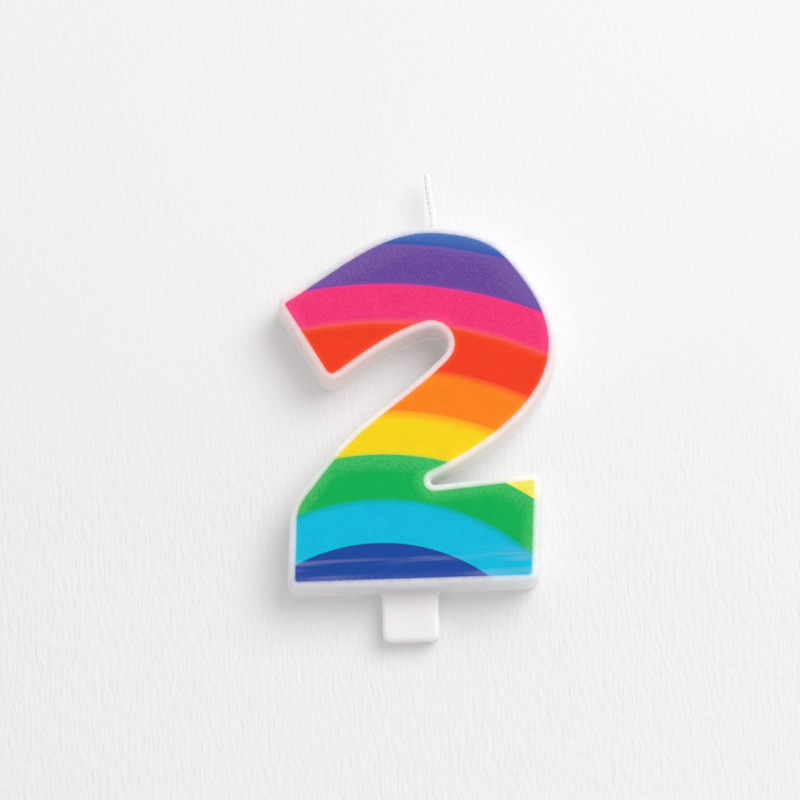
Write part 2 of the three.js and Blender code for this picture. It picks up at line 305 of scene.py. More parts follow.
def front_loop():
    """The corners of the wax body's flat front, in order, as x and z."""
    bm = bmesh.new()
    bm.from_mesh(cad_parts["wax_body"].data)
    bmesh.ops.remove_doubles(bm, verts=bm.verts, dist=WELD)
    flat = {f for f in bm.faces if all(abs(v.co.y - FRONT) < FLAT for v in f.verts)}
    follow = {}
    for face in flat:
        for loop in face.loops:
            if sum(f in flat for f in loop.edge.link_faces) == 1:
                follow[loop.vert.index] = loop.link_loop_next.vert
    bm.verts.ensure_lookup_table()
    start = next(iter(follow))
    order, at = [], start
    while True:
        vert = follow[at]
        order.append((vert.co.x, vert.co.z))
        at = vert.index
        if at == start:
            break
    bm.free()
    points = np.array(order)
    x, z = points.T
    if np.sum(x * np.roll(z, -1) - np.roll(x, -1) * z) < 0:
        points = points[::-1]
    return points


def unit(v):
    return v / np.linalg.norm(v, axis=-1, keepdims=True)


def corner_tangents(points):
    """Direction of the smooth outline at each corner of the loop."""
    before = points - np.roll(points, 1, axis=0)
    after = np.roll(points, -1, axis=0) - points
    l1 = np.linalg.norm(before, axis=1, keepdims=True)
    l2 = np.linalg.norm(after, axis=1, keepdims=True)
    mixed = unit(before) * l2 + unit(after) * l1
    mixed = np.where(l1 > STRAIGHT_RATIO * l2, before, mixed)
    mixed = np.where(l2 > STRAIGHT_RATIO * l1, after, mixed)
    return unit(mixed)


def smooth_outline(points):
    """Fine points along smooth curves through the loop's corners, with the outward direction at each."""
    tangents = corner_tangents(points)
    fine, normals = [], []
    for i in range(len(points)):
        j = (i + 1) % len(points)
        a, d = points[i], points[j]
        chord = np.linalg.norm(d - a)
        cosine = float(np.clip(tangents[i] @ tangents[j], -1, 1))
        handle = chord / (3 * math.cos(math.acos(cosine) / 4) ** 2)
        b, c = a + tangents[i] * handle, d - tangents[j] * handle
        steps = max(1, math.ceil(chord / OUTLINE_STEP))
        for t in np.arange(steps) / steps:
            u = 1 - t
            fine.append(u**3 * a + 3 * u**2 * t * b + 3 * u * t * t * c + t**3 * d)
            slope = u**2 * (b - a) + 2 * u * t * (c - b) + t * t * (d - c)
            normals.append(unit(np.array([slope[1], -slope[0]])))
    return np.array(fine), np.array(normals)


RIM_POINTS, RIM_NORMALS = smooth_outline(front_loop())
PRINT_POINTS = RIM_POINTS - RIM_NORMALS * RIM


def outline_tree():
    tree = KDTree(len(PRINT_POINTS))
    for i, (x, z) in enumerate(PRINT_POINTS):
        tree.insert(Vector((x, z, 0)), i)
    tree.balance()
    return tree


TREE = outline_tree()


def inside(points):
    """Whether each x, z point lies inside the print's outline."""
    x, z = points[:, 0][:, None], points[:, 1][:, None]
    ax, az = PRINT_POINTS.T
    bx, bz = np.roll(PRINT_POINTS, -1, axis=0).T
    crosses = (az > z) != (bz > z)
    at = ax + (z - az) * (bx - ax) / np.where(bz == az, 1e-12, bz - az)
    return (np.sum(crosses & (x < at), axis=1) % 2).astype(bool)


# ---------------------------------------------------------------- colour regions


def arc_radii():
    """Radii of the arcs between the colours, from the ink nodes' own reach, smallest first."""
    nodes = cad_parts
    radii = {}
    for name in ("royal_blue", "cyan", "green", "yellow", "orange", "red_bowl", "pink", "purple"):
        co = np.array([v.co for v in nodes["ink_" + name].data.vertices])
        far = np.hypot(co[:, 0] - ARC_CENTRE[0], co[:, 2] - ARC_CENTRE[1])
        radii[name.replace("_bowl", "")] = float(far.max())
    return radii


ARCS = arc_radii()
CORNER_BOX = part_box("ink_yellow_corner")
TERMINAL_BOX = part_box("ink_red_terminal")


def radius_at(points):
    return np.hypot(points[:, 0] - ARC_CENTRE[0], points[:, 1] - ARC_CENTRE[1])


def region_names(points):
    """The ink area that each point of the print lies in."""
    names = []
    lo, hi = TERMINAL_BOX
    left, top = CORNER_BOX[0].x - CORNER_SLACK, CORNER_BOX[1].z + CORNER_SLACK
    for (x, z), r in zip(points, radius_at(points)):
        band = next((c for c in ARCS if r <= ARCS[c]), "top_blue")
        if x > left and z < top and r > ARCS["green"]:
            band = "yellow_corner"
        elif band in ("yellow", "orange", "red"):
            in_arm = lo.x - ARM_SLACK < x < hi.x + ARM_SLACK and z > lo.z - ARM_SLACK_BELOW
            band = "red_terminal" if in_arm else ("red_bowl" if band == "red" else band)
        names.append("ink_" + band)
    return names


def painted_glow_colours():
    """Painted glow colour along the print's edge: the print's colour, run together a little as light in
    wax does.
    """
    just_in = PRINT_POINTS - RIM_NORMALS * PAINTED_GLOW_INSET
    key = {node: COLOURS[colour] for node, colour, _, _ in INKS}
    colours = np.array([key[n] for n in region_names(just_in)])
    shifts = np.arange(-PAINTED_GLOW_REACH, PAINTED_GLOW_REACH + 1)
    weights = np.exp(-0.5 * (shifts / PAINTED_GLOW_BLUR) ** 2)
    total = sum(w * np.roll(colours, k, axis=0) for k, w in zip(shifts, weights)) / weights.sum()
    bright = np.clip(total.sum(axis=1, keepdims=True) - 1.0, 0, 1)
    return total + (1 - total) * (PAINTED_GLOW_PALE + PAINTED_GLOW_PALE_BRIGHT * bright)


PAINTED_GLOW_COLOURS = painted_glow_colours()


# ---------------------------------------------------------------- meshes


def new_object(name, mesh, material, smooth=True):
    mesh.materials.clear()
    mesh.materials.append(material)
    if smooth:
        mesh.polygons.foreach_set("use_smooth", [True] * len(mesh.polygons))
    obj = bpy.data.objects.new(name, mesh)
    bpy.context.scene.collection.objects.link(obj)
    return obj


def loft(bm, rings):
    """Adds a closed skin through rings of equally many points, capped at both ends."""
    made = [[bm.verts.new(p) for p in ring] for ring in rings]
    count = len(made[0])
    for low, high in zip(made, made[1:]):
        for i in range(count):
            j = (i + 1) % count
            bm.faces.new((low[i], low[j], high[j], high[i]))
    bm.faces.new(list(reversed(made[0])))
    bm.faces.new(made[-1])


def ring_at(points, normals, grow, y):
    moved = points + normals * grow
    return [(x, y, z) for x, z in moved]


def wall_section():
    """Depth and growth of each ring, from the print's edge round to the back."""
    section = [(FRONT, RIM / 2), (FRONT, RIM)]
    for k in range(1, EDGE_RINGS + 1):
        a = math.pi / 2 * k / EDGE_RINGS
        section.append((FRONT + EDGE_DEPTH * (1 - math.cos(a)), RIM + EDGE_RUN * math.sin(a)))
    edge, last = section[-1], BACK - BACK_RADIUS
    for k in range(1, WALL_RINGS + 1):
        t = k / WALL_RINGS
        section.append((edge[0] + (last - edge[0]) * t, edge[1] + WALL_RUN * t))
    return section + back_edge(section[-1][1])


def back_edge(grow):
    """Depth and growth of the rings round the back edge of a wall that has grown that far."""
    rings = []
    for k in range(1, BACK_RINGS + 1):
        a = math.pi / 2 * k / BACK_RINGS
        y = BACK - BACK_RADIUS + BACK_RADIUS * math.sin(a)
        rings.append((y, grow - BACK_RADIUS * (1 - math.cos(a))))
    return rings


def stub_outline():
    """Rounded outline of the stub, run up into the foot."""
    low = WAX_LOW.z
    centres = [
        (STUB_RIGHT - STUB_CORNER, low + STUB_CORNER, -90, 0, STUB_CORNER),
        (STUB_RIGHT - STUB_ROOT_CORNER, STUB_ROOT, 0, 90, STUB_ROOT_CORNER),
        (STUB_LEFT + STUB_ROOT_CORNER, STUB_ROOT, 90, 180, STUB_ROOT_CORNER),
        (STUB_LEFT + STUB_CORNER, low + STUB_CORNER, 180, 270, STUB_CORNER),
    ]
    points, normals = [], []
    for x, z, start, end, radius in centres:
        for a in np.radians(np.linspace(start, end, STUB_CORNER_POINTS)):
            normals.append((math.cos(a), math.sin(a)))
            points.append((x + radius * math.cos(a), z + radius * math.sin(a)))
    return np.array(points), np.array(normals)


def add_stub(bm):
    points, normals = stub_outline()
    rings = []
    for k in range(STUB_RINGS + 1):
        a = math.pi / 2 * k / STUB_RINGS
        rings.append((STUB_FRONT + STUB_EDGE * (1 - math.cos(a)), -STUB_EDGE * (1 - math.sin(a))))
    loft(bm, [ring_at(points, normals, grow, y) for y, grow in rings + back_edge(0.0)])


def wick_centres():
    """Centres of the wick node's sections from its tip down into the crown, top first."""
    co = np.array([v.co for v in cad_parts["wick"].data.vertices])
    co = co[co[:, 2] > WAX_HIGH.z - WICK_READ]
    co = co[np.argsort(-co[:, 2])]
    breaks = np.flatnonzero(co[:-1, 2] - co[1:, 2] > WICK_SECTION) + 1
    return np.array([np.unique(np.round(g, 7), axis=0).mean(axis=0) for g in np.split(co, breaks)])


WICK_CENTRES = wick_centres()


def wick_point(z):
    """Centre of the wick at a height."""
    line = WICK_CENTRES[::-1]
    return np.array([np.interp(z, line[:, 2], line[:, 0]), np.interp(z, line[:, 2], line[:, 1]), z])


def add_collar(bm):
    """The wax drawn up round the wick where it leaves the crown."""
    base = WAX_HIGH.z
    rings = []
    for k in range(COLLAR_RINGS + 1):
        t = k / COLLAR_RINGS
        z = base - COLLAR_ROOT + (COLLAR_HEIGHT + COLLAR_ROOT) * t
        radius = COLLAR_NECK + (COLLAR_REACH - COLLAR_NECK) * (1 - t) ** COLLAR_FLARE
        cx, cy, _ = wick_point(z)
        angles = np.linspace(0, 2 * math.pi, COLLAR_SIDES, endpoint=False)
        rings.append([(cx + radius * math.cos(a), cy + radius * math.sin(a), z) for a in angles])
    loft(bm, rings)


def remeshed(bm, voxel):
    """The union of every closed shell in bm as one even skin."""
    mesh = bpy.data.meshes.new("skin")
    bmesh.ops.recalc_face_normals(bm, faces=bm.faces)
    bm.to_mesh(mesh)
    bm.free()
    obj = bpy.data.objects.new("skin", mesh)
    bpy.context.scene.collection.objects.link(obj)
    modifier = obj.modifiers.new("skin", "REMESH")
    modifier.mode = "VOXEL"
    modifier.voxel_size = voxel
    modifier.adaptivity = 0.0
    graph = bpy.context.evaluated_depsgraph_get()
    made = bpy.data.meshes.new_from_object(obj.evaluated_get(graph))
    bpy.data.objects.remove(obj)
    return made


def coordinates(mesh):
    co = np.empty(len(mesh.vertices) * 3, np.float32)
    mesh.vertices.foreach_get("co", co)
    return co.reshape(-1, 3).astype(float)


def set_coordinates(mesh, co):
    mesh.vertices.foreach_set("co", co.astype(np.float32).ravel())
    mesh.update()


def relax(mesh, weight, passes):
    """Moves each vertex towards the mean of its neighbours by its own weight, passes times."""
    co = coordinates(mesh)
    edges = np.empty(len(mesh.edges) * 2, np.int32)
    mesh.edges.foreach_get("vertices", edges)
    a, b = edges.reshape(-1, 2).T
    near = (weight[a] > 0) | (weight[b] > 0)
    a, b = a[near], b[near]
    count = np.zeros(len(co))
    np.add.at(count, a, 1)
    np.add.at(count, b, 1)
    count = np.maximum(count, 1)[:, None]
    for _ in range(passes):
        total = np.zeros_like(co)
        np.add.at(total, a, co[b])
        np.add.at(total, b, co[a])
        co += (total / count - co) * weight[:, None] * (weight > 0)[:, None]
    set_coordinates(mesh, co)


def stub_blend_weight(co):
    """Strongest where the stub meets the foot, fading to nothing past BLEND_REACH from there."""
    beside = np.maximum(np.maximum(STUB_LEFT - co[:, 0], co[:, 0] - STUB_RIGHT), 0)
    before = np.maximum(STUB_FRONT - co[:, 1], 0)
    below = np.abs(co[:, 2] - FOOT + BLEND_BELOW)
    away = np.sqrt(beside**2 + before**2 + below**2)
    on_side = (co[:, 2] < BLEND_TOP) & (co[:, 1] < BACK - BLEND_CLEAR)
    return np.clip(BLEND_FULL - away / BLEND_REACH, 0, 1) * on_side * BLEND_WEIGHT


def wax_relief(co):
    """Slow unevenness of a cast surface, in metres, for each vertex."""
    x, y, z = (co / MM).T
    wave = np.sin(0.31 * x + 0.9) * np.sin(0.27 * z + 0.4) + 0.6 * np.sin(0.83 * z + 0.21 * x + 2.1)
    wave += 0.5 * np.sin(0.61 * x - 0.47 * z + 0.7 * y) + 0.3 * np.sin(1.9 * y + 0.35 * x)
    return wave * RELIEF


def clamp_to_cad(co, low, high):
    return np.clip(co, np.array(low)[None], np.array(high)[None])


def add_float(mesh, name, values):
    attribute = mesh.attributes.new(name, "FLOAT", "POINT")
    attribute.data.foreach_set("value", np.asarray(values, np.float32))


def add_colour(mesh, name, values):
    attribute = mesh.attributes.new(name, "FLOAT_COLOR", "POINT")
    rgba = np.concatenate([values, np.ones((len(values), 1))], axis=1)
    attribute.data.foreach_set("color", rgba.astype(np.float32).ravel())


def nearest_outline(co):
    """Distance of each vertex from the print's edge in x and z, and the edge point it is nearest to."""
    away, which = np.empty(len(co)), np.empty(len(co), int)
    for i, (x, _, z) in enumerate(co):
        _, which[i], away[i] = TREE.find((x, z, 0))
    return away, which


def wax_mesh():
    """The whole casting as one skin: numeral, stub and the wax drawn up round the wick."""
    bm = bmesh.new()
    loft(bm, [ring_at(PRINT_POINTS, RIM_NORMALS, grow, y) for y, grow in wall_section()])
    add_stub(bm)
    add_collar(bm)
    mesh = remeshed(bm, VOXEL)
    relax(mesh, stub_blend_weight(coordinates(mesh)), BLEND_PASSES)
    away = np.linalg.norm(coordinates(mesh) - wick_point(WAX_HIGH.z), axis=1)
    relax(mesh, np.clip(COLLAR_FULL - away / COLLAR_BLEND, 0, 1) * COLLAR_WEIGHT, COLLAR_PASSES)
    add_relief(mesh)
    add_painted_glow(mesh)
    return mesh


def add_relief(mesh):
    """Makes the walls a little uneven, away from the flat front and back."""
    co = coordinates(mesh)
    normals = np.empty(len(co) * 3, np.float32)
    mesh.vertices.foreach_get("normal", normals)
    free = np.clip((co[:, 1] - FRONT) / MM, 0, 1) * np.clip((BACK - co[:, 1]) / MM, 0, 1)
    co += normals.reshape(-1, 3) * (wax_relief(co) * free)[:, None]
    high = (WAX_HIGH.x, BACK, cad_bounds[1].z)
    set_coordinates(mesh, clamp_to_cad(co, (WAX_LOW.x, FRONT, WAX_LOW.z), high))


def add_painted_glow(mesh):
    """Paints each vertex with a glow in the colour of the print nearest to it, standing in for light
    carried through the wax, and how much of it shows.
    """
    co = coordinates(mesh)
    away, which = nearest_outline(co)
    depth = co[:, 1] - FRONT
    near = (away + depth) / MM
    painted_glow = sum(amount * np.exp(-near / reach) for amount, reach in (PAINTED_GLOW_EDGE, PAINTED_GLOW_WALL))
    covered = (depth < COVERED_DEPTH) & inside(co[:, [0, 2]])
    painted_glow = np.where(covered, PAINTED_GLOW_COVERED, painted_glow) * np.clip((BACK - co[:, 1]) / PAINTED_GLOW_BACK, 0, 1)
    # the stub gets painted shade in place of the glow
    stub = co[:, 2] < STUB_TOP
    add_float(mesh, "painted_glow", np.where(stub, STUB_PAINTED_SHADE_AMOUNT, painted_glow))
    add_colour(mesh, "painted_glow_colour", np.where(stub[:, None], STUB_PAINTED_SHADE, PAINTED_GLOW_COLOURS[which]))


def arc_points(radius):
    """Points along one arc, and whether each lies within the print."""
    steps = int(math.pi * radius / ARC_STEP)
    angles = np.linspace(0, math.pi, steps)
    points = np.array(ARC_CENTRE) + radius * np.stack([np.cos(angles), np.sin(angles)], axis=1)
    return points, inside(points)


def print_triangles():
    """Triangles over the whole print that follow its outline and its arcs."""
    points = [tuple(p) for p in PRINT_POINTS]
    count = len(points)
    edges = [(i, (i + 1) % count) for i in range(count)]
    for radius in ARCS.values():
        run, within = arc_points(radius)
        grown = within | np.roll(within, 1) | np.roll(within, -1)
        start = len(points)
        points += [tuple(p) for p in run]
        edges += [(start + i, start + i + 1) for i in range(len(run) - 1) if grown[i] and grown[i + 1]]
    low, high = PRINT_POINTS.min(axis=0), PRINT_POINTS.max(axis=0)
    xs = np.arange(low[0], high[0], FILM_GRID)
    zs = np.arange(low[1], high[1], FILM_GRID * math.sqrt(0.75))
    grid = np.array([(x + (k % 2) * FILM_GRID / 2, z) for k, z in enumerate(zs) for x in xs])
    grid = grid[inside(grid)]
    clear = np.array([TREE.find((x, z, 0))[2] for x, z in grid]) > GRID_TO_EDGE
    for radius in ARCS.values():
        clear &= np.abs(radius_at(grid) - radius) > GRID_TO_ARC
    points += [tuple(p) for p in grid[clear]]
    scaled = [Vector((x / MM, z / MM)) for x, z in points]
    verts, _, faces, _, _, _ = delaunay_2d_cdt(scaled, edges, [], 0, MERGE, False)
    verts = np.array([(v.x, v.y) for v in verts]) * MM
    faces = np.array([f for f in faces if len(f) == 3])
    centres = verts[faces].mean(axis=1)
    within = inside(centres)
    return verts, faces[within], centres[within]


def film_mesh(name, verts, faces):
    """One ink area as a thin film: its face, a soft edge and a skirt down into the wax."""
    used, index = np.unique(faces, return_inverse=True)
    index = index.reshape(-1, 3)
    flat = verts[used]
    a, b, c = (flat[index[:, k]] for k in range(3))
    area = (b - a)[:, 0] * (c - a)[:, 1] - (b - a)[:, 1] * (c - a)[:, 0]
    index = np.where((area < 0)[:, None], index[:, ::-1], index)
    bm = bmesh.new()
    top = [bm.verts.new((x, FRONT - FILM, z)) for x, z in flat]
    for i, j, k in index:
        bm.faces.new((top[i], top[j], top[k]))
    edge = [e for e in bm.edges if e.is_boundary]
    made = bmesh.ops.extrude_edge_only(bm, edges=edge)["geom"]
    for v in made:
        if isinstance(v, bmesh.types.BMVert):
            v.co.y = FRONT + FILM_SKIRT
    mesh = bpy.data.meshes.new(name)
    bm.to_mesh(mesh)
    bm.free()
    co = coordinates(mesh)
    away, _ = nearest_outline(co)
    add_float(mesh, "edge", away / MM)
    add_float(mesh, "arc", radius_at(co[:, [0, 2]]) / MM)
    return mesh


def sweep(bm, path, radii, sides):
    """Adds a closed tube along path with its own radius at each point."""
    path = np.array(path)
    along = unit(np.gradient(path, axis=0))
    side = unit(np.cross(along, np.array([0.0, 1.0, 0.0])))
    up = np.cross(side, along)
    rings = []
    for p, s, u, r in zip(path, side, up, radii):
        angles = np.linspace(0, 2 * math.pi, sides, endpoint=False)
        rings.append([tuple(p + r * (math.cos(a) * s + math.sin(a) * u)) for a in angles])
    loft(bm, rings)


def wick_mesh():
    """Three plies braided about the wick's centre line, drawn together and frayed at the tip."""
    bm = bmesh.new()
    top = WICK_HIGH.z - WICK_TIP
    heights = np.arange(WAX_HIGH.z - WICK_BURIED, top, WICK_STEP)
    for ply in range(PLY_COUNT):
        path, radii = [], []
        for z in heights:
            phase = 2 * math.pi * (z / BRAID_PITCH + ply / PLY_COUNT)
            left = (top - z) / MM
            loose = 1 + TIP_LOOSE[0] * math.exp(-left / TIP_LOOSE[1])
            swing = BRAID_SWING * math.sin(phase) * loose
            path.append(wick_point(z) + np.array([swing, BRAID_DEPTH * math.sin(2 * phase), 0]))
            taper = 1 - TIP_TAPER[0] * math.exp(-left / TIP_TAPER[1])
            ridge = 1 + STRANDS[0] * math.sin(STRANDS[1] * phase)
            radii.append(PLY_RADIUS * taper * ridge)
        sweep(bm, path, radii, WICK_SIDES)
    add_fibres(bm, top)
    mesh = bpy.data.meshes.new("wick_braid")
    bm.to_mesh(mesh)
    bm.free()
    co = coordinates(mesh)
    set_coordinates(mesh, clamp_to_cad(co, cad_bounds[0], cad_bounds[1]))
    return mesh


def add_fibres(bm, top):
    """Loose ends of cotton at the tip."""
    random = np.random.default_rng(FIBRE_SEED)
    steps = np.linspace(0, 1, FIBRE_POINTS)
    for _ in range(FIBRES):
        angle = random.uniform(0, 2 * math.pi)
        lean = random.uniform(*FIBRE_LEAN)
        outward = np.array([math.cos(angle), math.sin(angle), 0])
        start = wick_point(top - FIBRE_ROOT) + outward * random.uniform(0, FIBRE_SPREAD) * MM
        length = random.uniform(*FIBRE_LENGTH) * MM
        way = outward * lean + np.array([0, 0, 1.0])
        curl = np.array([random.uniform(-FIBRE_CURL, FIBRE_CURL) for _ in range(2)] + [0])
        path = [start + way * length * t + curl * length * t * t for t in steps]
        sweep(bm, path, [FIBRE_RADIUS * (1 - FIBRE_TAPER * t) for t in steps], FIBRE_SIDES)


# ---------------------------------------------------------------- materials


class Nodes:
    """A short hand for building one material's nodes."""

    def __init__(self, name):
        self.material = bpy.data.materials.new(name)
        self.material.use_nodes = True
        self.tree = self.material.node_tree
        self.shader = self.tree.nodes["Principled BSDF"]

    def add(self, kind, settings=(), **inputs):
        node = self.tree.nodes.new(kind)
        for key, value in dict(settings).items():
            setattr(node, key, value)
        for key, value in inputs.items():
            self.put(node.inputs[key.replace("_", " ")], value)
        return node

    def put(self, socket, value):
        if isinstance(value, bpy.types.NodeSocket):
            self.tree.links.new(value, socket)
        else:
            socket.default_value = value

    def math(self, operation, a, b=0.0, c=0.0, clamp=False):
        node = self.tree.nodes.new("ShaderNodeMath")
        node.operation = operation
        node.use_clamp = clamp
        for socket, value in zip(node.inputs, (a, b, c)):
            self.put(socket, value)
        return node.outputs[0]

    def mix(self, factor, a, b):
        node = self.tree.nodes.new("ShaderNodeMix")
        node.data_type = "RGBA"
        self.put(node.inputs[0], factor)
        for socket, value in ((node.inputs[6], a), (node.inputs[7], b)):
            if not isinstance(value, bpy.types.NodeSocket) and len(value) == 3:
                value = (*value, 1.0)
            self.put(socket, value)
        return node.outputs[2]

    def smooth(self, value, low, high, first=0.0, last=1.0):
        node = self.tree.nodes.new("ShaderNodeMapRange")
        node.interpolation_type = "SMOOTHSTEP"
        for socket, number in zip(node.inputs, (value, low, high, first, last)):
            self.put(socket, number)
        return node.outputs[0]

    def attribute(self, name, output="Fac"):
        node = self.tree.nodes.new("ShaderNodeAttribute")
        node.attribute_name = name
        return node.outputs[output]

    def place(self):
        """The surface point in the row frame, in mm."""
        node = self.tree.nodes.new("ShaderNodeTexCoord")
        scaled = self.add("ShaderNodeVectorMath", {"operation": "SCALE"})
        self.put(scaled.inputs[0], node.outputs["Object"])
        scaled.inputs["Scale"].default_value = 1 / MM
        return scaled.outputs[0]

    def noise(self, place, scale, detail=2.0, rough=0.5):
        node = self.tree.nodes.new("ShaderNodeTexNoise")
        self.put(node.inputs["Vector"], place)
        node.inputs["Scale"].default_value = scale
        node.inputs["Detail"].default_value = detail
        node.inputs["Roughness"].default_value = rough
        return node.outputs["Fac"]

    def wander(self, place, scale, most):
        """A slow noise between -most and most."""
        return self.math("MULTIPLY_ADD", self.noise(place, scale), 2 * most, -most)

    def bump(self, heights):
        """Normal from (height, distance in mm) pairs, one after the other."""
        normal = None
        for height, distance in heights:
            node = self.tree.nodes.new("ShaderNodeBump")
            node.inputs["Strength"].default_value = 1.0
            node.inputs["Distance"].default_value = distance * MM
            self.put(node.inputs["Height"], height)
            if normal is not None:
                self.put(node.inputs["Normal"], normal)
            normal = node.outputs["Normal"]
        return normal

    def set(self, **values):
        for key, value in values.items():
            socket = self.shader.inputs[key.replace("_", " ")]
            if not isinstance(value, bpy.types.NodeSocket) and isinstance(value, (list, tuple)):
                if socket.type == "RGBA" and len(value) == 3:
                    value = (*value, 1.0)
            self.put(socket, value)


def wax_material():
    n = Nodes("wax")
    place = n.place()
    cloud = n.noise(place, 0.12, 3.0)
    grain = n.noise(place, 1.6, 4.0, 0.6)
    base = n.mix(n.smooth(cloud, 0.3, 0.7), *WAX_TONES)
    uneven = n.smooth(n.noise(place, 0.9, 3.0), 0.25, 0.75, 0.8, 1.2)
    # painted glow: the print's colour mixed into the wax's base colour, standing in for light carried
    # through the wax
    painted_glow = n.math("MULTIPLY", n.attribute("painted_glow"), uneven, clamp=True)
    base = n.mix(painted_glow, base, n.attribute("painted_glow_colour", "Color"))
    dust = n.smooth(n.noise(place, 5.5, 2.0), 0.68, 0.8, 0.0, 0.08)
    base = n.mix(dust, base, DUST)
    rough = n.smooth(grain, 0.2, 0.8, *WAX_ROUGHNESS)
    n.set(Base_Color=base, Roughness=rough, Specular_IOR_Level=0.4, **WAX_SCATTER)
    n.set(Normal=n.bump([(n.noise(place, 0.35, 2.0), WAX_WAVES), (grain, WAX_GRAIN)]))
    return n.material


def lightened(n, place, colour, shade, arc, outer):
    """shade with fine dots of a lighter colour that thicken towards the area's edges."""
    tone, from_edge, from_arc, amount, anywhere = DOTS[colour]
    close = n.smooth(n.attribute("edge"), 0.0, from_edge, 1.0, anywhere)
    if from_arc and outer:
        close = n.math("MAXIMUM", close, n.smooth(arc, outer / MM - from_arc, outer / MM, 0.0, 0.9))
    grain = n.noise(place, DOT_SCALE, 1.0)
    ready = n.math("ADD", grain, n.math("MULTIPLY_ADD", close, 0.26, -0.12))
    dot = n.smooth(ready, 0.40, 0.68, 0.0, amount)
    return n.mix(n.math("MULTIPLY", dot, n.smooth(close, 0.0, 0.25)), shade, tone)


def ink_material(name, colour, inner, outer):
    """Printed lacquer: flat colour with dots towards its edges, which runs into its neighbours."""
    n = Nodes(name)
    place = n.place()
    arc = n.math("ADD", n.attribute("arc"), n.wander(place, 2.2, BOUNDARY_WANDER))
    deep = [INK_DEEP * c for c in COLOURS[colour]]
    pale = [min(1.0, INK_PALE[0] * c + INK_PALE[1]) for c in COLOURS[colour]]
    shade = n.mix(n.smooth(n.noise(place, 0.3, 4.0), 0.3, 0.7, 0.4, 1.0), deep, COLOURS[colour])
    shade = n.mix(n.smooth(n.noise(place, 4.0, 2.0), 0.45, 0.7, 0.0, 0.8), shade, pale)
    shade = lightened(n, place, colour, shade, arc, OUTER.get(name))
    for other, radius, way in ((inner, INNER.get(name), -1), (outer, OUTER.get(name), 1)):
        if not other:
            continue
        limit = radius / MM
        if (colour, other) in BLENDS:
            tone, reach = BLENDS[colour, other]
            shade = n.mix(n.smooth(arc, limit - way * reach, limit), shade, tone)
        across = BLENDS.get((other, colour), (COLOURS[other], 0.0))[0]
        soft = way * BOUNDARY_SOFTNESS
        shade = n.mix(n.smooth(arc, limit - soft, limit + soft), shade, across)
    edge = n.math("ADD", n.attribute("edge"), n.wander(place, 2.6, EDGE_WANDER))
    shade = n.mix(n.smooth(edge, -0.05, EDGE_SOFTNESS, EDGE_FADE, 0.0), shade, PAPER)
    # painted sheen streaks near the foot
    shade = n.mix(n.math("MULTIPLY", painted_sheen_streaks(n, place), SHEEN_STREAK_AMOUNT), shade, SHEEN_STREAK_COLOUR)
    rough = n.smooth(n.noise(place, 2.5, 3.0), 0.2, 0.8, *INK_ROUGHNESS)
    n.set(Base_Color=shade, Roughness=rough, **INK_GLOSS)
    n.set(Normal=n.bump([(n.noise(place, 0.22, 2.0), INK_WAVES), (n.noise(place, 3.0, 3.0), INK_GRAIN)]))
    return n.material


def painted_sheen_streaks(n, place):
    """Painted sheen: long faint light streaks along the foot, standing in for reflections in the glossy
    print, 0 to 1.
    """
    stretched = n.add("ShaderNodeVectorMath", {"operation": "MULTIPLY"})
    n.put(stretched.inputs[0], place)
    stretched.inputs[1].default_value = SHEEN_STREAK_STRETCH
    streak = n.smooth(n.noise(stretched.outputs[0], 1.0, 3.0, 0.5), 0.48, 0.66)
    parts = n.add("ShaderNodeSeparateXYZ")
    n.put(parts.inputs[0], place)
    low = n.smooth(parts.outputs["Z"], SHEEN_STREAK_TOP, SHEEN_STREAK_TOP - SHEEN_STREAK_FADE)
    return n.math("MULTIPLY", streak, low)


def neighbours():
    """Radius of the arc on each side of every ink area, by node."""
    inner, outer = {}, {}
    for node, colour, below, above in INKS:
        if below:
            inner[node] = ARCS[below]
        if above:
            outer[node] = ARCS[colour]
    return inner, outer


INNER, OUTER = neighbours()


def cotton_material():
    """Bleached cotton soaked in wax."""
    n = Nodes("cotton")
    place = n.place()
    wave = n.add("ShaderNodeTexWave", {"wave_type": "BANDS", "bands_direction": "DIAGONAL"})
    n.put(wave.inputs["Vector"], place)
    wave.inputs["Scale"].default_value = 3.2
    wave.inputs["Distortion"].default_value = 2.2
    wave.inputs["Detail"].default_value = 2.0
    thread = wave.outputs["Fac"]
    base = n.mix(n.smooth(thread, 0.1, 0.9), *COTTON_TONES)
    n.set(Base_Color=base, Roughness=n.smooth(thread, 0.0, 1.0, *COTTON_ROUGHNESS), **COTTON_SCATTER)
    n.set(Normal=n.bump([(thread, COTTON_THREAD), (n.noise(place, 6.0, 3.0), COTTON_GRAIN)]))
    return n.material


# ---------------------------------------------------------------- the candle


def build_wax():
    obj = new_object("wax_figure", wax_mesh(), wax_material())
    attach(obj, "root")
    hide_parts("wax_body")


def build_print():
    verts, faces, centres = print_triangles()
    names = np.array(region_names(centres))
    for node, colour, inner, outer in INKS:
        mesh = film_mesh(node + "_film", verts, faces[names == node])
        material = ink_material(node, colour, inner, outer)
        obj = new_object(node + "_film", mesh, material, smooth=False)
        obj.visible_shadow = False  # the lacquer lets light into the wax
        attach(obj, "root")
        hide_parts(node)


def build_wick():
    obj = new_object("wick_braid", wick_mesh(), cotton_material())
    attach(obj, "root")
    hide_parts("wick")


# ---------------------------------------------------------------- set


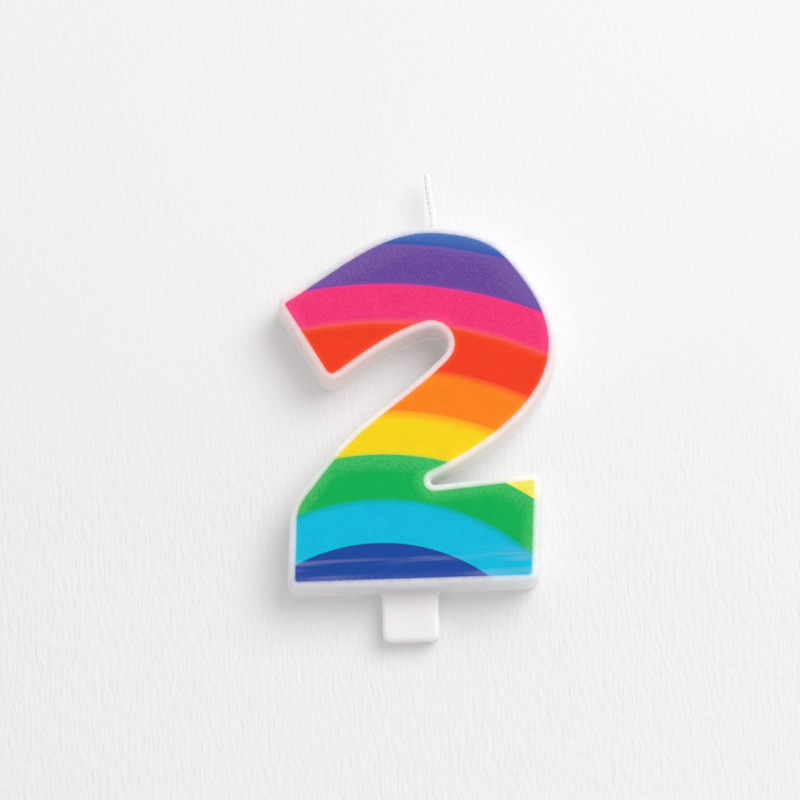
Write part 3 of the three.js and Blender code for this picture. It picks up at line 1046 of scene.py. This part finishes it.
def floor_material():
    """Pale matt table top, not seen from behind or from closer than NEAR."""
    n = Nodes("table")
    place = n.place()
    tone = n.mix(n.smooth(n.noise(place, 0.01, 2.0), 0.3, 0.7), *FLOOR_TONES)
    n.set(Base_Color=tone, Roughness=0.7)
    crepe = n.add("ShaderNodeVectorMath", {"operation": "MULTIPLY"})
    n.put(crepe.inputs[0], place)
    crepe.inputs[1].default_value = (1.0, 1.0, CREPE_TALL)
    parts = n.add("ShaderNodeSeparateXYZ")
    n.put(parts.inputs[0], place)
    calm = n.smooth(parts.outputs["Z"], *CREPE_CALM, 0.4, 1.0)
    ripple = n.math("MULTIPLY", n.noise(crepe.outputs[0], 1.2, 3.0, 0.6), calm)
    n.set(Normal=n.bump([(ripple, CREPE_HEIGHT)]))
    clear = n.add("ShaderNodeBsdfTransparent")
    light = n.add("ShaderNodeLightPath")
    near = n.math("LESS_THAN", light.outputs["Ray Length"], NEAR)
    behind = n.add("ShaderNodeNewGeometry").outputs["Backfacing"]
    mix = n.add("ShaderNodeMixShader")
    n.put(mix.inputs[0], n.math("MAXIMUM", near, behind))
    n.put(mix.inputs[1], n.shader.outputs[0])
    n.put(mix.inputs[2], clear.outputs[0])
    n.put(n.tree.nodes["Material Output"].inputs["Surface"], mix.outputs[0])
    return n.material


def build_floor():
    """The table that the candle lies on, behind its back."""
    half = FLOOR_SIZE / 2
    y = BACK + FLOOR_GAP
    corners = [(-half, y, -half), (half, y, -half), (half, y, half), (-half, y, half)]
    mesh = bpy.data.meshes.new("table")
    mesh.from_pydata(corners, [], [(0, 1, 2, 3)])
    obj = new_object("table", mesh, floor_material(), smooth=False)


def area_light(name, where, size, power):
    data = bpy.data.lights.new(name, "AREA")
    data.shape = "DISK"
    data.size = size
    data.energy = power
    obj = bpy.data.objects.new(name, data)
    obj.location = where
    aim = Vector(AIM) - Vector(where)
    obj.rotation_euler = aim.to_track_quat("-Z", "Y").to_euler()
    bpy.context.scene.collection.objects.link(obj)


def build_lights():
    """A large key light, and a white surround that is warmer and dimmer away from BRIGHT_SIDE."""
    world = bpy.data.worlds.new("studio")
    world.use_nodes = True
    tree = world.node_tree
    way = tree.nodes.new("ShaderNodeTexCoord")
    towards = tree.nodes.new("ShaderNodeVectorMath")
    towards.operation = "DOT_PRODUCT"
    towards.inputs[1].default_value = Vector(BRIGHT_SIDE).normalized()
    tree.links.new(way.outputs["Generated"], towards.inputs[0])
    tone = tree.nodes.new("ShaderNodeMix")
    tone.data_type = "RGBA"
    tone.inputs[6].default_value = DARK_TONE
    tone.inputs[7].default_value = BRIGHT_TONE
    background = tree.nodes["Background"]
    tree.links.new(tone.outputs[2], background.inputs["Color"])
    strength = background.inputs["Strength"]
    for target, low, high in ((strength, WORLD_DARK, WORLD_BRIGHT), (tone.inputs[0], 0.0, 1.0)):
        between = tree.nodes.new("ShaderNodeMapRange")
        for socket, value in zip(list(between.inputs)[1:], (-1.0, 1.0, low, high)):
            socket.default_value = value
        tree.links.new(towards.outputs["Value"], between.inputs[0])
        tree.links.new(between.outputs[0], target)
    bpy.context.scene.world = world
    area_light("key", KEY_PLACE, KEY_SIZE, KEY_POWER)


def build_camera():
    data = bpy.data.cameras.new("camera")
    data.lens = LENS
    data.sensor_width = SENSOR
    data.clip_start, data.clip_end = NEAREST, FARTHEST
    obj = bpy.data.objects.new("camera", data)
    bpy.context.scene.collection.objects.link(obj)
    e = math.radians(CAMERA_ELEVATION)
    out = Vector((0, -math.cos(e), math.sin(e)))
    where = Vector(ORBIT) + out * CAMERA_DISTANCE
    look = (Vector(AIM) - where).normalized()
    turn = look.to_track_quat("-Z", "Y").to_matrix().to_4x4()
    roll = Matrix.Rotation(math.radians(-CAMERA_ROLL), 4, "Z")
    obj.matrix_world = Matrix.Translation(where) @ turn @ roll
    bpy.context.scene.camera = obj


build_wax()
build_print()
build_wick()
build_floor()
build_lights()
build_camera()
bpy.context.scene.view_settings.view_transform = "Standard"
